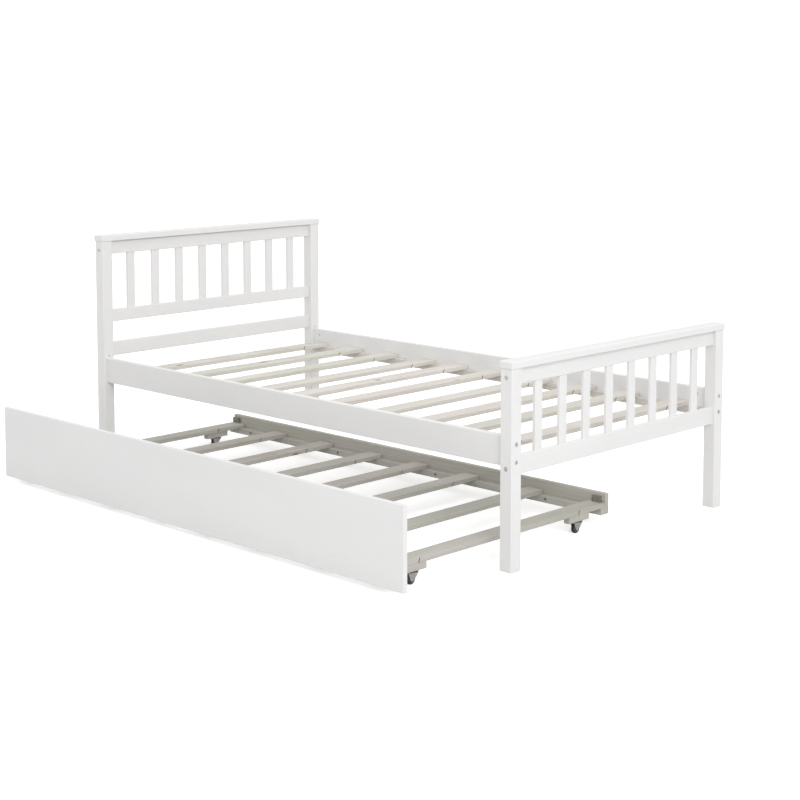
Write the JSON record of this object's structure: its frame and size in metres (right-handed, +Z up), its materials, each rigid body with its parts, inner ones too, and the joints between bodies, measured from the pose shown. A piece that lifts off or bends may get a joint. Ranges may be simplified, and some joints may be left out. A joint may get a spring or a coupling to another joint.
{
  "type": "trundle bed",
  "caption": "Painted slatted single bed with barred headboard and footboard and a low trundle bed that rolls out from underneath on swivel casters.",
  "frame": {"origin": "on the floor under the middle of the bounding box, with the trundle pulled part-way out as at rest", "axes": "+X from the head end to the foot end, +Y from the trundle side to the rear side, +Z up"},
  "size_m": [2.032, 1.492, 0.858],
  "materials": {
    "white_paint": "white satin paint over pine",
    "bed_pine": "bare sanded pine",
    "trundle_pine": "bare sanded pine, greyer",
    "bolt_steel": "zinc plated",
    "screw_steel": "dark wood screws",
    "socket_steel": "zinc plated",
    "fork_steel": "zinc plated pressed steel",
    "wheel_plastic": "black plastic",
    "stop_plastic": "dark grey plastic"
  },
  "bodies": {
    "bed_frame": {"post_head_front": "white_paint", "post_head_rear": "white_paint", "post_foot_front": "white_paint", "post_foot_rear": "white_paint", "headboard_cap": "white_paint", "headboard_top_rail": "white_paint", "headboard_middle_rail": "white_paint", "headboard_lower_rail": "white_paint", "headboard_spindles": "white_paint", "footboard_cap": "white_paint", "footboard_top_rail": "white_paint", "footboard_lower_rail": "white_paint", "footboard_spindles": "white_paint", "side_rail_front": "white_paint", "side_rail_rear": "white_paint", "bed_cleat_front": "bed_pine", "bed_cleat_rear": "bed_pine", "bed_slat_01": "bed_pine", "bed_slat_02": "bed_pine", "bed_slat_03": "bed_pine", "bed_slat_04": "bed_pine", "bed_slat_05": "bed_pine", "bed_slat_06": "bed_pine", "bed_slat_07": "bed_pine", "bed_slat_08": "bed_pine", "bed_slat_09": "bed_pine", "bed_slat_10": "bed_pine", "frame_bolts": "bolt_steel", "barrel_nuts": "bolt_steel", "bed_cleat_screws": "screw_steel"},
    "trundle": {"trundle_cleat_front": "trundle_pine", "trundle_cleat_back": "trundle_pine", "trundle_back_rail": "trundle_pine", "trundle_slat_1": "trundle_pine", "trundle_slat_2": "trundle_pine", "trundle_slat_3": "trundle_pine", "trundle_slat_4": "trundle_pine", "trundle_slat_5": "trundle_pine", "trundle_slat_6": "trundle_pine", "trundle_slat_7": "trundle_pine", "trundle_slat_8": "trundle_pine", "caster_block_front_head": "trundle_pine", "caster_block_front_foot": "trundle_pine", "caster_block_rear_head": "trundle_pine", "caster_block_rear_foot": "trundle_pine", "trundle_front_panel": "white_paint", "trundle_screws": "screw_steel", "caster_sockets": "socket_steel", "mattress_stops": "stop_plastic"},
    "caster_front_head": {"caster_fork_front_head": "fork_steel"},
    "wheel_front_head": {"caster_wheel_front_head": "wheel_plastic"},
    "caster_front_foot": {"caster_fork_front_foot": "fork_steel"},
    "wheel_front_foot": {"caster_wheel_front_foot": "wheel_plastic"},
    "caster_rear_head": {"caster_fork_rear_head": "fork_steel"},
    "wheel_rear_head": {"caster_wheel_rear_head": "wheel_plastic"},
    "caster_rear_foot": {"caster_fork_rear_foot": "fork_steel"},
    "wheel_rear_foot": {"caster_wheel_rear_foot": "wheel_plastic"}
  },
  "joints": [
    {"name": "trundle_slide", "type": "slide", "parent": "bed_frame", "child": "trundle", "axis": [0, -1, 0], "range_m": [-0.383, 0.66]},
    {"name": "caster_swivel_front_head", "type": "hinge", "parent": "trundle", "child": "caster_front_head", "pos_m": [-0.916, -0.614, 0.038], "axis": [0, 0, 1], "continuous": true},
    {"name": "wheel_spin_front_head", "type": "hinge", "parent": "caster_front_head", "child": "wheel_front_head", "pos_m": [-0.916, -0.62, 0.0155], "axis": [1, 0, 0], "continuous": true},
    {"name": "caster_swivel_front_foot", "type": "hinge", "parent": "trundle", "child": "caster_front_foot", "pos_m": [0.872, -0.614, 0.038], "axis": [0, 0, 1], "continuous": true},
    {"name": "wheel_spin_front_foot", "type": "hinge", "parent": "caster_front_foot", "child": "wheel_front_foot", "pos_m": [0.872, -0.62, 0.0155], "axis": [1, 0, 0], "continuous": true},
    {"name": "caster_swivel_rear_head", "type": "hinge", "parent": "trundle", "child": "caster_rear_head", "pos_m": [-0.916, 0.14, 0.038], "axis": [0, 0, 1], "continuous": true},
    {"name": "wheel_spin_rear_head", "type": "hinge", "parent": "caster_rear_head", "child": "wheel_rear_head", "pos_m": [-0.916, 0.134, 0.0155], "axis": [1, 0, 0], "continuous": true},
    {"name": "caster_swivel_rear_foot", "type": "hinge", "parent": "trundle", "child": "caster_rear_foot", "pos_m": [0.872, 0.14, 0.038], "axis": [0, 0, 1], "continuous": true},
    {"name": "wheel_spin_rear_foot", "type": "hinge", "parent": "caster_rear_foot", "child": "wheel_rear_foot", "pos_m": [0.872, 0.134, 0.0155], "axis": [1, 0, 0], "continuous": true}
  ]
}
